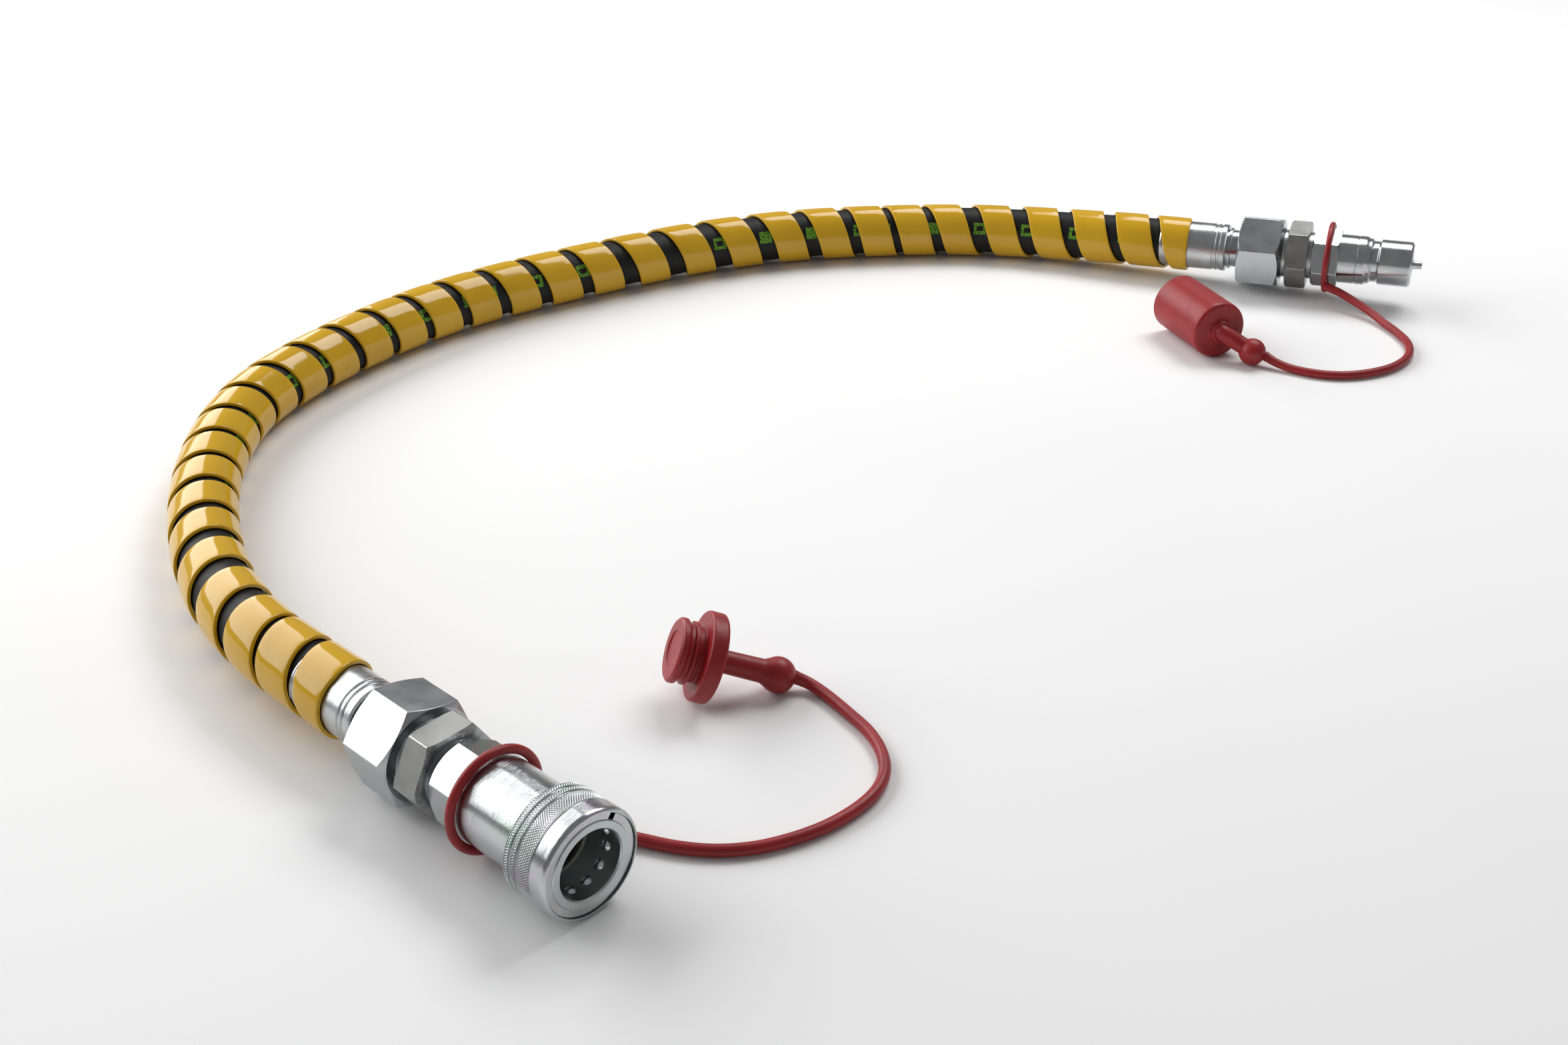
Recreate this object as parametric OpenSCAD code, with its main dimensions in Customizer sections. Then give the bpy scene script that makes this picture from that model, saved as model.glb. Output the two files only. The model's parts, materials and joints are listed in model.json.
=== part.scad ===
// Hydraulic hose assembly: a rubber hose in a spiral guard, with a crimped swivel fitting and an
// adapter at each end. One end carries a ball-lock socket, the other its nipple, and both have a
// flexible dust cover on a lanyard. The assembly lies on the floor plane, z = 0, along a wide arc.
// Every fitting is drawn along +z, its ferrule first, and then laid on its own axis.

/* [Hose] */
// Outside diameter of the hose cover
hose_od = 32.4; // [31.8:0.1:33]
// Outside diameter of the spiral guard
guard_od = 37.4; // [36.6:0.1:38]
// Wall of the guard strip
guard_wall = 1.7; // [1.2:0.1:1.8]
// Width of the guard strip along the hose
guard_strip = 24; // [12:0.5:27]

/* [Fittings] */
// Outside diameter of the crimped ferrule
ferrule_od = 33; // [32:0.1:33.4]
// Size of the swivel nut across its flats
nut_af = 46; // [45:0.5:46]
// Size of the adapter's hexagon across its flats
adapter_af = 41; // [38:0.5:42]
// Size of the socket's hexagon across its flats
socket_af = 36; // [34:0.5:38]
// Size of the nipple's hexagon across its flats
nipple_af = 36; // [33:0.5:36]

/* [Coupling] */
// Diameter of the nipple that enters the socket
nipple_d = 31.4; // [31:0.1:31.5]
// Bore of the socket
socket_bore_d = 31.7; // [31.6:0.1:31.8]
// Outside diameter of the locking sleeve
sleeve_d = 50.4; // [50:0.1:51]
// Diameter of each locking ball
ball_d = 6; // [5.8:0.1:6]
// Travel of the locking sleeve
sleeve_travel = 5; // [4:0.5:5]

/* [Dust covers] */
// Thickness of the plug's lanyard
plug_cord_d = 5.8; // [4:0.1:6]
// Thickness of the cap's lanyard
cap_cord_d = 5.4; // [4:0.1:6]
// Diameter of the plug's flange
plug_flange_d = 44; // [42:0.5:44]
// Outside diameter of the cap
cap_d = 38; // [36:0.5:38]

/* [Hidden] */

$fn = 96;
eps = 0.01;

// Colours of the materials
zinc = [0.74, 0.76, 0.77];
steel = [0.62, 0.63, 0.64];
rolled = [0.52, 0.53, 0.53];
black_rubber = [0.07, 0.07, 0.08];
yellow = [0.86, 0.66, 0.12];
red = [0.62, 0.12, 0.13];

// Where the two fittings start, and how each one points
socket_root = [-279, -227, 25.5];
socket_heading = -44;
plug_root = [206, 338, 23.9];
plug_heading = -21;
plug_rise = 2;

// Points that the free hose passes through, from the socket end to the nipple end
hose_route = [
    socket_root, [-297, -208, 25.2], [-319, -178, 23.5], [-339, -141, 21.2], [-356, -98, 19.4],
    [-369, -52, 18.8], [-376, -8, 18.7], [-377, 36, 18.7], [-371, 76, 18.7], [-356, 114, 18.7],
    [-336, 150, 18.7], [-310, 187, 18.7], [-279, 222, 18.7], [-243, 253, 18.7],
    [-203, 281, 18.7], [-160, 308, 18.7], [-115, 333, 18.7], [-68, 352, 18.7], [-20, 364, 18.7],
    [30, 370, 18.7], [80, 372, 18.7], [125, 366, 19.4], [168, 353, 21.3], plug_root
];

// Points of the two lanyards, from the ball to the ring
plug_cord_route = [
    [-46, -212, 7.5], [-38, -213, 4], [-30, -221, 3], [-20, -236, 3], [-11, -251, 3],
    [-6, -266, 3], [-5, -281, 3], [-9, -295, 3], [-18, -308, 3], [-31, -320, 3], [-46, -329, 3],
    [-62, -335, 3], [-78, -337, 3], [-94, -335, 3], [-110, -330, 3], [-125, -325, 3.5],
    [-139, -321, 5.5], [-150, -319, 9], [-157, -319.5, 9.5]
];
cap_cord_route = [
    [265, 166, 7], [272, 160, 4.5], [281, 154, 3], [294, 147, 3], [310, 144, 3], [327, 147, 3],
    [344, 155, 3], [357, 167, 3], [365, 181, 3], [368, 197, 3], [366, 214, 3], [361, 231, 3.5],
    [356, 243, 5.5], [348, 254, 8.5], [339, 263.5, 11.8], [329.7, 270.1, 14.3]
];

// Stations along a fitting's axis, from its root
ferrule_start = 21;
crimp_end = 58;
ferrule_end = 68;
nut_start = 77;
nut_end = 106;
cone_face = 92;
adapter_hex_start = 110.5;
adapter_hex_end = 125;
port_face = 128;
stud_end = 143;
socket_hex_end = 147;
barrel_end = 191;
ball_station = 202.5;
socket_mouth = 212;
nipple_hex_end = 146;
nipple_tip = 195;

// Radii shared by pieces that fit together
neck_r = 13;
thread_r = 17.95;
port_r = 13.25;
barrel_r = 20.5;
spigot_r = 18.85;
cage_r = 19.9;
nipple_r = nipple_d / 2;
bore_r = socket_bore_d / 2;
ball_r = ball_d / 2;
ball_circle_r = bore_r - 1.4 + ball_r;
ball_lift = 1.5;
ball_slope = ball_lift / sleeve_travel;
release_r = ball_circle_r + ball_r + 0.25;
ball_count = 12;
seat_gap = 0.3;
seal_r = 0.9;
ferrule_r = ferrule_od / 2;

// How far the hose's line runs on into the fittings, and the sweep's rings
hose_run_in = 70;
hose_sides = 12;
hose_ring_step = 22;
samples_per_span = 6;
guard_steps = 16;

// ---- Curves ----

function unit(v) = v / norm(v);

// Point at fraction t of the smooth span between b and c
function span_point(a, b, c, d, t) =
    0.5 * (2 * b + (c - a) * t + (2 * a - 5 * b + 4 * c - d) * t * t
        + (3 * b - 3 * c + d - a) * t * t * t);

// Points of a smooth curve through a list of points, with the run-in and run-out directions given
function smooth(points, first, last) =
    let(p = concat([points[0] - first], points, [points[len(points) - 1] + last]))
    [for (i = [1 : len(p) - 3], k = [0 : samples_per_span - 1])
            span_point(p[i - 1], p[i], p[i + 1], p[i + 2], k / samples_per_span),
        points[len(points) - 1]];

// Distance along a polyline at each of its points
function distances(points) =
    [for (i = 0, s = 0; i < len(points);
            s = s + (i + 1 < len(points) ? norm(points[i + 1] - points[i]) : 0), i = i + 1) s];

// Tables that give each coordinate at a distance along a polyline
function rail(points) =
    let(s = distances(points))
    [for (axis = [0 : 2]) [for (i = [0 : len(points) - 1]) [s[i], points[i][axis]]]];
function rail_length(r) = r[0][len(r[0]) - 1][0];
function rail_point(r, s) = [lookup(s, r[0]), lookup(s, r[1]), lookup(s, r[2])];
function rail_tangent(r, s) =
    unit(rail_point(r, min(s + 0.5, rail_length(r))) - rail_point(r, max(s - 0.5, 0)));

// Point at a radius and an angle round the rail, turning from the side over the bottom
function round_rail(r, s, radius, angle) =
    let(t = rail_tangent(r, s), side = unit(cross(t, [0, 0, 1])), up = cross(side, t))
    rail_point(r, s) + radius * (cos(angle) * side - sin(angle) * up);

socket_axis = [cos(socket_heading), sin(socket_heading), 0];
plug_axis = [cos(plug_heading) * cos(plug_rise), sin(plug_heading) * cos(plug_rise),
    sin(plug_rise)];
end_lead = 24;
hose_rail = rail(concat(
    [socket_root + hose_run_in * socket_axis],
    smooth(hose_route, -end_lead * socket_axis, end_lead * plug_axis),
    [plug_root + hose_run_in * plug_axis]
));
hose_line_length = rail_length(hose_rail);

// Solid swept along a rail: each section is a list of [distance, radius, angle]
module swept(r, sections) {
    n = len(sections[0]);
    count = len(sections);
    points = [for (section = sections, c = section) round_rail(r, c[0], c[1], c[2])];
    walls = [for (i = [0 : count - 2], k = [0 : n - 1], side = [0, 1])
        let(a = i * n + k, b = i * n + (k + 1) % n)
        side == 0 ? [a, b + n, b] : [a, a + n, b + n]];
    polyhedron(
        points = points,
        faces = concat([[for (k = [0 : n - 1]) k]], walls,
            [[for (k = [n - 1 : -1 : 0]) (count - 1) * n + k]])
    );
}

// Plain cord along a list of points
module cord(points, diameter, sides) {
    r = rail(smooth(points, points[1] - points[0], unit(points[len(points) - 1]
        - points[len(points) - 2])));
    rings = ceil(rail_length(r) / (2 * diameter));
    swept(r, [for (i = [0 : rings])
        [for (k = [0 : sides - 1])
            [rail_length(r) * i / rings, diameter / 2, 360 * k / sides]]]);
}

// Tube wall along the hose, run on into the ferrules; all layers have their rings at the same places
module hose_layer(inner_r, outer_r, run_in) {
    free_length = hose_line_length - 2 * hose_run_in;
    spans = ceil(free_length / hose_ring_step);
    free_part = [for (i = [0 : spans]) hose_run_in + free_length * i / spans];
    s = concat([hose_run_in - run_in], free_part, [hose_line_length - hose_run_in + run_in]);
    steps = len(s) - 1;
    n = hose_sides;
    turn = 360 / n;
    points = concat(
        [for (d = s, k = [0 : n - 1]) round_rail(hose_rail, d, outer_r, k * turn)],
        [for (d = s, k = [0 : n - 1]) round_rail(hose_rail, d, inner_r, k * turn)]
    );
    inner = (steps + 1) * n;
    last = steps * n;
    outer_walls = [for (i = [0 : steps - 1], k = [0 : n - 1], half = [0, 1])
        let(a = i * n + k, b = i * n + (k + 1) % n)
        half == 0 ? [a, b + n, b] : [a, a + n, b + n]];
    inner_walls = [for (f = outer_walls) [f[0] + inner, f[2] + inner, f[1] + inner]];
    start_face = [for (k = [0 : n - 1]) let(b = (k + 1) % n) [k, b, b + inner, k + inner]];
    end_face = [for (k = [0 : n - 1]) let(b = (k + 1) % n)
        [last + b, last + k, last + k + inner, last + b + inner]];
    polyhedron(points = points, faces = concat(outer_walls, inner_walls, start_face, end_face));
}

// ---- Placing ----

module on_socket() translate(socket_root) rotate([0, 90, socket_heading]) children();
module on_plug() translate(plug_root) rotate([0, 90 - plug_rise, plug_heading]) children();

// ---- Shared shapes ----

// Solid of revolution from points given as [radius, station]
module turned(points) rotate_extrude() polygon(points);

// Points of an arc from one angle to another
function arc(centre, r, from, to, steps) =
    [for (i = [0 : steps]) let(a = from + (to - from) * i / steps)
        centre + r * [cos(a), sin(a)]];

module ring(centre_r, section_r, station)
    rotate_extrude() translate([centre_r, station]) circle(section_r, $fn = 32);

// Hexagonal bar between two stations, its corners chamfered at both ends
module hex_bar(af, from, to, chamfer, turn) {
    corner_r = af / sqrt(3);
    intersection() {
        translate([0, 0, from]) rotate(turn) cylinder(r = corner_r, h = to - from, $fn = 6);
        turned([
            [0, from], [corner_r - chamfer * 1.7, from], [corner_r + 1.7, from + chamfer + 1],
            [corner_r + 1.7, to - chamfer - 1], [corner_r - chamfer * 1.7, to], [0, to]
        ]);
    }
}

module bore(r, from, to) translate([0, 0, from]) cylinder(r = r, h = to - from);

// Compression spring between two stations
module spring(mean_r, wire_r, from, to, turns) {
    sides = 8;
    steps = 16;
    n = turns * steps;
    lift = (to - from - 2 * wire_r) / n;
    points = [for (i = [0 : n], k = [0 : sides - 1])
        let(a = 360 * i / steps, c = 360 * k / sides, r = mean_r + wire_r * cos(c))
        [r * cos(a), r * sin(a), from + wire_r + lift * i + wire_r * sin(c)]];
    walls = [for (i = [0 : n - 1], k = [0 : sides - 1], half = [0, 1])
        let(a = i * sides + k, b = i * sides + (k + 1) % sides)
        half == 0 ? [a, b, b + sides] : [a, b + sides, a + sides]];
    polyhedron(
        points = points,
        faces = concat([[for (k = [sides - 1 : -1 : 0]) k]], walls,
            [[for (k = [0 : sides - 1]) n * sides + k]])
    );
}

// Rod from one point to another
module rod(from, to, r) {
    d = to - from;
    translate(from)
        rotate([0, acos(d[2] / norm(d)), atan2(d[1], d[0])]) cylinder(r = r, h = norm(d));
}

// Radius of the 24 degree sealing cone at a station
cone_mouth_r = 14.05;
function cone_r(station) = cone_mouth_r - tan(12) * (station - cone_face);

// ---- Hose ----

tube_r = [9.75, 11.6];
wire_r = [11.7, 14.2];
module hose_inner_tube() color(black_rubber) hose_layer(tube_r[0], tube_r[1], crimp_end - 2);
module hose_wire_reinforcement() color(steel) hose_layer(wire_r[0], wire_r[1], crimp_end - 2);
module hose_cover() color(black_rubber)
    hose_layer(wire_r[1] + 0.15, hose_od / 2, ferrule_start - 0.25);

// Turns of the strip at distances along the hose's line; its pitch opens and closes in the bends
guard_turns = [
    [5, -0.24], [22.5, 0.3], [60, 1.51], [100, 2.92], [140, 3.97], [180, 4.99],
    [220, 6.09], [270, 7.66], [330, 9.64], [400, 11.93], [480, 14.44], [560, 16.99],
    [640, 19.44], [700, 21.23], [760, 22.83], [840, 24.95], [900, 26.69], [960, 28.71],
    [1020, 30.33], [1080, 32.06], [1145, 34.13], [1165, 34.76]
];

// Helical strip, trimmed square where it ends over the ferrules
guard_first = 22.5;
guard_last = 1145;
module spiral_guard() {
    half = guard_strip / 2;
    tip = 1.5;
    outer_r = guard_od / 2;
    inner_r = outer_r - guard_wall;
    start = guard_first - half + tip;
    stop = guard_last + half - tip;
    steps = ceil((lookup(stop, guard_turns) - lookup(start, guard_turns)) * guard_steps);
    color(yellow)
        swept(hose_rail, [for (i = [0 : steps])
            let(
                middle = start + (stop - start) * i / steps,
                a = 360 * lookup(middle, guard_turns),
                rear = max(guard_first, middle - half),
                front = min(guard_last, middle + half)
            )
            [[rear, inner_r, a], [front, inner_r, a], [front, outer_r, a], [rear, outer_r, a]]]);
}

// ---- Crimped swivel fitting, the same at both ends ----

tail_r = 9.3;
tail_bore_r = 7.2;
collar_r = 13.4;
lock_groove_r = 11.2;
nut_shoulder = 83.6;
cone_end = 98.8;
cone_gap = 0.15;
seal_station = 95.2;
module insert() color(zinc)
    turned([
        [tail_bore_r, 22], [tail_r - 0.5, 22], [tail_r, 24],
        [tail_r, 31], [tail_r - 0.5, 32], [tail_r, 36],
        [tail_r, 43], [tail_r - 0.5, 44], [tail_r, 48],
        [tail_r, crimp_end], [collar_r, crimp_end], [collar_r, crimp_end + 3.5],
        [lock_groove_r, crimp_end + 3.5], [lock_groove_r, crimp_end + 7.8],
        [neck_r, crimp_end + 7.8], [neck_r, 69], [neck_r + 1.4, 69.4], [neck_r + 1.4, 71],
        [neck_r, 71.4], [neck_r, nut_shoulder + 0.2], [16.4, nut_shoulder + 0.2],
        [16.4, 91], [cone_r(cone_face) - cone_gap, cone_face],
        [cone_r(93.9) - cone_gap, 93.9], [lock_groove_r, 93.9], [lock_groove_r, 96.5],
        [cone_r(96.5) - cone_gap, 96.5], [cone_r(cone_end) - cone_gap, cone_end],
        [9.5, cone_end], [tail_bore_r, cone_face]
    ]);

// Sleeve that is crimped over the hose, with two turned grooves near its front
module ferrule() color(zinc)
    turned([
        [14.8, ferrule_start], [ferrule_r - 0.4, ferrule_start], [ferrule_r, ferrule_start + 0.8],
        [ferrule_r, 58.6], [ferrule_r - 0.7, 59], [ferrule_r - 0.7, 60.4], [ferrule_r, 60.8],
        [ferrule_r, 61.8], [ferrule_r - 0.7, 62.2], [ferrule_r - 0.7, 63.6], [ferrule_r, 64],
        [ferrule_r, ferrule_end - 0.8], [ferrule_r - 0.8, ferrule_end],
        [neck_r + 0.1, ferrule_end], [neck_r + 0.1, crimp_end + 7.5],
        [lock_groove_r + 0.1, crimp_end + 7.5], [lock_groove_r + 0.1, crimp_end + 3.8],
        [collar_r + 0.1, crimp_end + 3.8], [collar_r + 0.1, crimp_end - 0.2],
        [14.35, crimp_end - 0.2], [14.35, ferrule_start + 0.6]
    ]);

module swivel_nut(turn) color(zinc) difference() {
    hex_bar(nut_af, nut_start, nut_end, 2.2, turn);
    bore(neck_r + 0.15, nut_start - 1, nut_end);
    bore(thread_r + 0.15, nut_shoulder, nut_end + 1);
}

module cone_seal() color(black_rubber) ring(12.25, 1, seal_station);

// Adapter: cone and thread for the swivel nut, hexagon, and a stud that screws into the coupling
stud_groove = [13.35, 15];
module adapter(turn) color(rolled) difference() {
    union() {
        turned([
            [0, cone_face], [thread_r - 0.8, cone_face], [thread_r, cone_face + 0.8],
            [thread_r, 107], [16.6, 107.6], [16.6, adapter_hex_start + 1],
            [0, adapter_hex_start + 1]
        ]);
        hex_bar(adapter_af, adapter_hex_start, adapter_hex_end, 1, turn);
        bore(16.2, adapter_hex_end - 1, port_face);
        bore(port_r - 0.1, port_face - 1, stud_end);
    }
    turned([[0, cone_face - 1], [cone_r(cone_face - 1), cone_face - 1],
        [cone_r(99.5), 99.5], [10, 101.5], [10, stud_end + 1], [0, stud_end + 1]]);
    difference() {
        bore(stud_groove[1], port_face - 1.25, port_face + eps);
        bore(stud_groove[0], port_face - 2, port_face + 1);
    }
}

module adapter_seal() color(black_rubber) difference() {
    bore(stud_groove[1] - 0.05, port_face - 1.2, port_face);
    bore(stud_groove[0] + 0.05, port_face - 2, port_face + 1);
}

// ---- Ball-lock socket ----

poppet_cavity_r = 16.5;
bore_land = 206;
cage_bore_end = 211.2;
relief_r = bore_r + 0.2;
seat_line = 187.2;
module socket_back_body() color(zinc) difference() {
    union() {
        intersection() {
            hex_bar(socket_af, port_face, socket_hex_end, 2.2, 6);
            turned([[0, port_face - 1], [16, port_face - 1], [24, port_face + 7],
                [24, socket_hex_end + 1], [0, socket_hex_end + 1]]);
        }
        turned([[0, socket_hex_end - 1], [barrel_r, socket_hex_end - 1],
            [barrel_r, barrel_end - 0.4], [barrel_r - 0.4, barrel_end], [0, barrel_end]]);
    }
    bore(port_r, port_face - 1, 144);
    bore(12, 143, 148);
    bore(poppet_cavity_r, socket_hex_end, 169);
    bore(spigot_r + 0.1, 168, barrel_end + 1);
}

seal_station_bore = 188;
module socket_front_body() color(zinc) difference() {
    turned([
        [15.5, 171], [spigot_r, 171], [spigot_r, barrel_end], [19.3, barrel_end],
        [19.3, 200.1], [cage_r, 200.1], [cage_r, 210.2], [19.2, 210.2], [19.2, 211.45],
        [cage_r, 211.45], [cage_r - 0.4, socket_mouth],
        [bore_r + 0.6, socket_mouth], [bore_r, cage_bore_end],
        [bore_r, bore_land], [relief_r, bore_land - 0.2], [relief_r, 191.2],
        [18.05, 191.2], [18.05, 186.6], [relief_r, 186.6],
        [relief_r, 178], [11.2, 178], [11.2, seat_line - 11.2], [14.7, seat_line - 14.7]
    ]);
    for (i = [1 : ball_count]) at_ball(i) {
        sphere(ball_r + 0.06);
        cylinder(r = ball_r + 0.06, h = 4);
    }
}

// Place of one ball, its own z pointing away from the axis
module at_ball(i)
    rotate(360 / ball_count * (i - 1) + 15)
        translate([ball_circle_r, 0, ball_station]) rotate([0, 90, 0]) children();

module lock_ball(i) color(steel) on_socket() at_ball(i) sphere(ball_r);

// Sleeve: two narrow knurled rings, a broad knurled band and a smooth rounded front
sleeve_back = 187;
sleeve_front = 212.4;
module socket_sleeve() color(zinc) {
    r = sleeve_d / 2;
    groove_r = r - 1;
    cone_from = ball_station - (release_r - 20.1) / ball_slope;
    cone_to = ball_station + (22.3 - release_r) / ball_slope;
    turned(concat(
        [[20.62, sleeve_back], [r - 0.8, sleeve_back], [r - 0.2, sleeve_back + 0.6],
            [r - 0.2, 189.5], [groove_r, 189.8], [groove_r, 190.7], [r - 0.2, 191],
            [r - 0.2, 193.3], [groove_r, 193.6], [groove_r, 194.5], [r, 194.8],
            [r, 202.6], [r - 0.5, 202.9], [r - 0.5, 203.5], [r, 203.8]],
        arc([r - 1.8, sleeve_front - 1.8], 1.8, 0, 90, 6),
        [[23.4, 210], [22.3, 210], [22.3, cone_to], [20.1, cone_from],
            [20.1, 200], [21.3, 200], [21.3, 190.3], [20.62, 189.8]]
    ));
}

module socket_sleeve_spring() color(steel) spring(20.3, 0.6, barrel_end + 0.05, 199.95, 3);

// Open ring in the groove of the front body, which stops the sleeve
module socket_snap_ring() color(steel) difference() {
    bore(22.9, 210.3, 211.4);
    bore(19.25, 210, 212);
    rotate(145) translate([0, -1.5, 210]) cube([24, 3, 2]);
}

module socket_seal() color(black_rubber) ring(16.72, 1.28, seal_station_bore);

module socket_backup_ring() color([0.9, 0.9, 0.86]) difference() {
    bore(18, 189.6, 191.15);
    bore(relief_r + 0.1, 189, 192);
}

// Spoked plate with a hub that guides a poppet's stem
module poppet_guide(plate_r, hub_r, from, hub_to, hole_r, hole_circle_r) color(steel)
    difference() {
        union() {
            bore(plate_r, from, from + 3);
            bore(hub_r, from, hub_to);
        }
        bore(3.05, from - 1, hub_to + 1);
        for (a = [0 : 60 : 300])
            rotate(a) translate([hole_circle_r, 0, from - 1]) cylinder(r = hole_r, h = 5);
    }

module socket_poppet_guide() poppet_guide(16.4, 6, socket_hex_end, 158, 3.4, 12.2);

// Each poppet closes on a 45 degree seat, where radius and station add up to a fixed number
socket_poppet_line = seat_line - seat_gap;
socket_seal_place = [12.3, seat_line - sqrt(2) * (seal_r + 0.03) - 12.3];
module socket_poppet() color(steel) difference() {
    turned([
        [0, 150], [2.6, 150], [3, 150.4], [3, 169], [14.4, 169],
        [14.4, socket_poppet_line - 14.4], [11, socket_poppet_line - 11], [9.8, 176.8], [0, 176.8]
    ]);
    ring(socket_seal_place[0], seal_r + 0.05, socket_seal_place[1]);
}
module socket_poppet_seal() color(black_rubber)
    ring(socket_seal_place[0], seal_r, socket_seal_place[1]);
module socket_poppet_spring() color(steel) spring(7.2, 0.8, 150.05, 168.95, 5);

// ---- Nipple ----

nipple_seat_line = 198.5;
nipple_cavity_r = 12.6;
module nipple_body() color(zinc) difference() {
    union() {
        hex_bar(nipple_af, port_face, nipple_hex_end, 1.2, 46.5);
        turned([
            [0, nipple_hex_end - 1], [16.9, nipple_hex_end - 1], [16.9, 157.4], [16.5, 157.6],
            [16.5, 158.2], [16.9, 158.4], [16.9, 163.4], [nipple_r, 165.4], [nipple_r, 167],
            [14.2, 168.5], [14.2, 172], [nipple_r, 173.5], [nipple_r, nipple_tip - 1.4],
            [nipple_r - 1.4, nipple_tip], [0, nipple_tip]
        ]);
    }
    bore(port_r, port_face - 1, 144);
    turned([[0, 143], [nipple_cavity_r, 143], [nipple_cavity_r, 187],
        [11.5, 187], [7.5, 191], [7.5, 196], [0, 196]]);
    bore(13.2, 144.6, 146);
    for (a = [45 : 90 : 315])
        rotate(a) translate([11.2, 0, nipple_tip - 2.5]) cylinder(r = 1.3, h = 4);
}

module nipple_retaining_ring() color(steel) difference() {
    bore(13.15, 144.7, 145.95);
    bore(11.2, 144, 147);
    translate([0, -2, 144]) cube([14, 4, 3]);
}

module nipple_poppet_guide() poppet_guide(12.5, 5, nipple_hex_end, 160, 2.2, 9.6);

nipple_poppet_line = nipple_seat_line - seat_gap;
nipple_seal_place = [9, nipple_seat_line - sqrt(2) * (seal_r + 0.03) - 9];
module nipple_poppet() color(steel) difference() {
    turned([
        [0, 152], [2.6, 152], [3, 152.4], [3, 184], [11.3, 184],
        [11.3, nipple_poppet_line - 11.3], [7, nipple_poppet_line - 7], [4.6, 193.4],
        [3.2, 195.4], [2.6, 197.4], [2.6, 201], [2.1, 201.5], [0, 201.5]
    ]);
    ring(nipple_seal_place[0], seal_r + 0.05, nipple_seal_place[1]);
}
module nipple_poppet_seal() color(black_rubber)
    ring(nipple_seal_place[0], seal_r, nipple_seal_place[1]);
module nipple_poppet_spring() color(steel) spring(6.2, 0.7, 149.05, 183.95, 8);

// ---- Dust covers ----

// Plug: ball, stem, flange and a beaded spigot, lying on its flange and its ball
plug_ball = [-53, -213, 9];
plug_lean = 21;
plug_turn = 188;
cover_ball_r = 8.9;
module dust_plug() color(red) {
    flange_r = plug_flange_d / 2;
    translate(plug_ball) rotate([0, 90 - plug_lean, plug_turn]) {
        sphere(cover_ball_r);
        turned(concat(
            [[0, 4], [5.8, 4], [5.8, 30], [6.6, 31.6], [8.2, 32.2], [flange_r - 1.5, 32.2]],
            arc([flange_r - 1.5, 33.7], 1.5, -90, 0, 4),
            arc([flange_r - 1.5, 39.2], 1.5, 0, 90, 4),
            [[13.4, 40.7], [13.4, 44.3], [15.2, 44.6], [15.2, 46.2], [13.8, 46.6], [13.8, 48.4]],
            arc([14.2, 50.8], 1.6, -60, 60, 4),
            [[13, 53.4], [0, 53.4]]
        ));
    }
}
module plug_lanyard() color(red) cord(plug_cord_route, plug_cord_d, 8);
module plug_lanyard_ring() color(red) on_socket() ring(23.2, 2.15, 150.5);

// Cap: open cup, stem that droops to a ball on the floor
cap_bottom = [237, 179, 19];
cap_heading = -70;
cap_length = 54;
cap_wall = cap_d / 2 - nipple_r - 0.15;
cap_floor = 4;
cap_ball = [257, 168, 9];
module dust_cap() color(red) {
    r = cap_d / 2;
    axis = [cos(cap_heading), sin(cap_heading), 0];
    translate(cap_bottom) rotate([0, 90, cap_heading])
        turned(concat(
            [[0, 3.5], [7.4, 3.5], [8.2, 0]],
            arc([r - 2, -2], 2, 90, 0, 4),
            [[r, -cap_length + 0.8], [r - 0.8, -cap_length],
                [r - cap_wall, -cap_length], [r - cap_wall, -cap_floor], [0, -cap_floor]]
        ));
    rod(cap_bottom + 2.4 * axis, cap_ball, 5.4);
    translate(cap_ball) sphere(cover_ball_r - 0.1);
}
module cap_lanyard() color(red) cord(cap_cord_route, cap_cord_d, 8);
module cap_lanyard_ring() color(red) on_plug() ring(22.9, 1.9, 138.5);

hose_inner_tube();
hose_wire_reinforcement();
hose_cover();
spiral_guard();
on_socket() insert();  // socket_end_insert
on_socket() ferrule();  // socket_end_ferrule
on_socket() swivel_nut(16.5);  // socket_end_nut
on_socket() cone_seal();  // socket_end_cone_seal
on_socket() adapter(33);  // socket_end_adapter
on_socket() adapter_seal();  // socket_end_adapter_seal
on_plug() insert();  // plug_end_insert
on_plug() ferrule();  // plug_end_ferrule
on_plug() swivel_nut(12.5);  // plug_end_nut
on_plug() cone_seal();  // plug_end_cone_seal
on_plug() adapter(36.5);  // plug_end_adapter
on_plug() adapter_seal();  // plug_end_adapter_seal
on_socket() socket_back_body();
on_socket() socket_front_body();
on_socket() socket_sleeve();
on_socket() socket_sleeve_spring();
on_socket() socket_snap_ring();
on_socket() socket_seal();
on_socket() socket_backup_ring();
on_socket() socket_poppet_guide();
on_socket() socket_poppet();
on_socket() socket_poppet_seal();
on_socket() socket_poppet_spring();
lock_ball(1);  // lock_ball_01
lock_ball(2);  // lock_ball_02
lock_ball(3);  // lock_ball_03
lock_ball(4);  // lock_ball_04
lock_ball(5);  // lock_ball_05
lock_ball(6);  // lock_ball_06
lock_ball(7);  // lock_ball_07
lock_ball(8);  // lock_ball_08
lock_ball(9);  // lock_ball_09
lock_ball(10);  // lock_ball_10
lock_ball(11);  // lock_ball_11
lock_ball(12);  // lock_ball_12
on_plug() nipple_body();
on_plug() nipple_retaining_ring();
on_plug() nipple_poppet_guide();
on_plug() nipple_poppet();
on_plug() nipple_poppet_seal();
on_plug() nipple_poppet_spring();
dust_plug();
plug_lanyard();
plug_lanyard_ring();
dust_cap();
cap_lanyard();
cap_lanyard_ring();
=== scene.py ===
import json
import math

import bmesh
import bpy
import numpy as np
from mathutils import Matrix, Vector


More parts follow.
